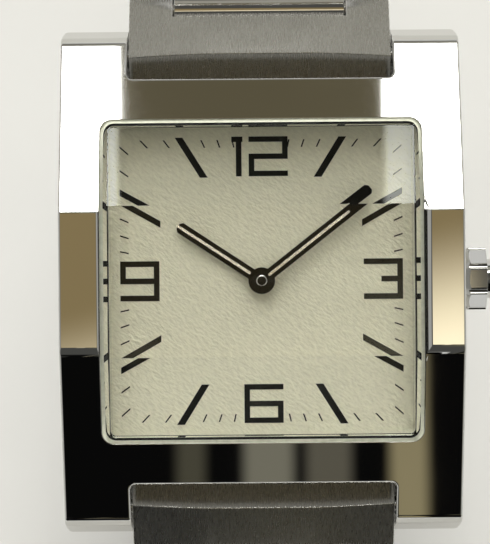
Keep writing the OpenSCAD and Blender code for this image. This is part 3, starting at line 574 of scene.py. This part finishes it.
def blend_light(amount, a, b):
    node = sky_node("ShaderNodeMix")
    node.data_type = "RGBA"
    node.clamp_factor = True
    sky_link(amount, node.inputs["Factor"])
    for value, socket in ((a, node.inputs[6]), (b, node.inputs[7])):
        sky_link(value if isinstance(value, bpy.types.NodeSocket) else (*value, 1), socket)
    return node.outputs[2]


# A direction has a tilt, in degrees from straight up towards 12, and a slope sideways, which is
# positive on the crown's side.
heading = sky_node("ShaderNodeTexCoord").outputs["Generated"]
parts = sky_node("ShaderNodeSeparateXYZ")
sky_link(heading, parts.inputs["Vector"])
across, towards_12, up = parts.outputs
tilt = calc("MULTIPLY", calc("ARCTAN2", towards_12, up), 180 / math.pi)
squares = calc("ADD", calc("MULTIPLY", towards_12, towards_12), calc("MULTIPLY", up, up))
sideways = calc("DIVIDE", across, calc("MAXIMUM", calc("SQRT", squares), 0.02))

SOFTBOX = (1.0, 1.0, 0.98)
STRIP_LEFT = (23.0, 23.0, 22.3)
STRIP_RIGHT = (19.0, 19.0, 18.4)
GAP = (0.15, 0.13, 0.08)
BOX_TILT, BOX_WIDTH = (36.3, 50), (-1.0, 1.0)
STRIP_TILT, STRIP_WIDTH = (36.3, 43.5), (-0.095, 0.11)
GAP_WIDTH = (-0.0545, 0.061)
strips = blend_light(rise(sideways, -0.02, 0.02), STRIP_LEFT, STRIP_RIGHT)
strips = blend_light(within(tilt, STRIP_TILT, 0.8), SOFTBOX, strips)
boxes = blend_light(within(sideways, STRIP_WIDTH, 0.006), SOFTBOX, strips)
boxes = blend_light(within(sideways, GAP_WIDTH, 0.002), boxes, GAP)
in_boxes = calc("MULTIPLY", within(tilt, BOX_TILT, 0.8), within(sideways, BOX_WIDTH, 0.06))

BEYOND = (0.43, 0.42, 0.37)
DARK = (0.03, 0.03, 0.026)
BEYOND_TILT, BEYOND_WIDTH = (50, 100), (-0.36, 0.36)
BEYOND_FADE = (68, 80)
beyond_boxes = blend_light(rise(tilt, *BEYOND_FADE), BEYOND, DARK)
in_beyond = calc("MULTIPLY", within(tilt, BEYOND_TILT, 2), within(sideways, BEYOND_WIDTH, 0.08))

CEILING_WARM = (0.34, 0.26, 0.13)
CEILING_BRIGHT = (1.8, 1.6, 1.15)
CEILING_TILT, CEILING_WIDTH = (-5, 12), (-0.0895, 0.096)
CEILING_SLANT = 13.9
CEILING_RISE = (-0.21, 3.54)
slanted = calc("SUBTRACT", calc("MULTIPLY", sideways, CEILING_SLANT), tilt)
ceiling = blend_light(rise(slanted, *CEILING_RISE), CEILING_WARM, CEILING_BRIGHT)
in_ceiling = calc("MULTIPLY", within(tilt, CEILING_TILT, 2), within(sideways, CEILING_WIDTH, 0.001))

FAR_TILT, FAR_WIDTH = (-100, -27), (-0.40, 0.40)
FAR_WINDOWS = (
    ((-0.030, -0.018), (0.09, 0.085, 0.06)),
    ((-0.001, 0.020), (0.24, 0.23, 0.18)),
    ((0.026, 0.045), (0.14, 0.13, 0.10)),
    ((0.062, 0.078), (0.36, 0.31, 0.18)),
)
FAR_DARK = (0.004, 0.004, 0.004)
far_room = FAR_DARK
for span, lit in FAR_WINDOWS:
    far_room = blend_light(within(sideways, span, 0.004), far_room, lit)
in_far_room = calc("MULTIPLY", within(tilt, FAR_TILT, 3), within(sideways, FAR_WIDTH, 0.06))

ROOM = (0.50, 0.50, 0.485)
SIDE_LEFT = (0.09, 0.09, 0.085)
SIDE_RIGHT = (0.20, 0.19, 0.13)
HORIZON = (0.84, 0.84, 0.83)
HORIZON_UP = (0.10, 0.17)
SIDES_TILT, SIDES_WIDTH = (-100, 100), (-0.7, 0.7)
SIDES_RISE = (0.12, 0.4)
sides = blend_light(rise(sideways, *SIDES_RISE), SIDE_LEFT, SIDE_RIGHT)
in_sides = calc("MULTIPLY", within(sideways, SIDES_WIDTH, 0.1), within(tilt, SIDES_TILT, 4))
light = blend_light(in_sides, ROOM, sides)
for amount, shown in (
    (in_far_room, far_room),
    (in_beyond, beyond_boxes),
    (in_ceiling, ceiling),
    (in_boxes, boxes),
):
    light = blend_light(amount, light, shown)
light = blend_light(rise(up, *HORIZON_UP), HORIZON, light)
sky_link(light, background.inputs["Color"])
background.inputs["Strength"].default_value = 1.0

LAMP_AWAY = 3.0
LAMP_SPREAD = 45  # degrees, so that the table is lit evenly


def lamp(name, tilt_deg, wide, deep, energy, colour):
    """A rectangular lamp over the 12 side, turned to the dial; mirrors don't show it."""
    data = bpy.data.lights.new(name, "AREA")
    data.shape = "RECTANGLE"
    data.size = wide
    data.size_y = deep
    data.energy = energy
    data.spread = math.radians(LAMP_SPREAD)
    data.color = colour
    placed = bpy.data.objects.new(name, data)
    aim = Vector((0, 0, cad_box[1][2]))
    turn = math.radians(tilt_deg)
    placed.location = aim + Vector((0, math.sin(turn), math.cos(turn))) * LAMP_AWAY
    placed.rotation_euler = (aim - placed.location).to_track_quat("-Z", "Y").to_euler()
    placed.visible_glossy = False
    placed.visible_camera = False
    bpy.context.scene.collection.objects.link(placed)


lamp("softbox_light", 50, 2.4, 0.96, 3.5, (1.0, 0.99, 0.95))
lamp("low_light", 61, 2.4, 0.72, 13.6, (1.0, 0.99, 0.95))
lamp("ceiling_light", 12, 1.8, 0.15, 1.04, (1.0, 0.93, 0.78))

# ---------------------------------------------------------------- camera
# Above the dial, 170 mm over the front of the case, a little off its middle and turned by half a
# degree, as the photograph was taken.
CAMERA_OVER_FRONT = 0.17
camera_data = bpy.data.cameras.new("camera")
camera_data.sensor_width = 36
camera_data.lens = 153
camera_data.clip_start = 0.01
camera = bpy.data.objects.new("camera", camera_data)
camera.location = (-0.00125, 0.00066, CASE_FRONT + CAMERA_OVER_FRONT)
camera.rotation_euler = (0, 0, math.radians(-0.5))
bpy.context.scene.collection.objects.link(camera)
bpy.context.scene.camera = camera
bpy.context.scene.view_settings.view_transform = "Standard"
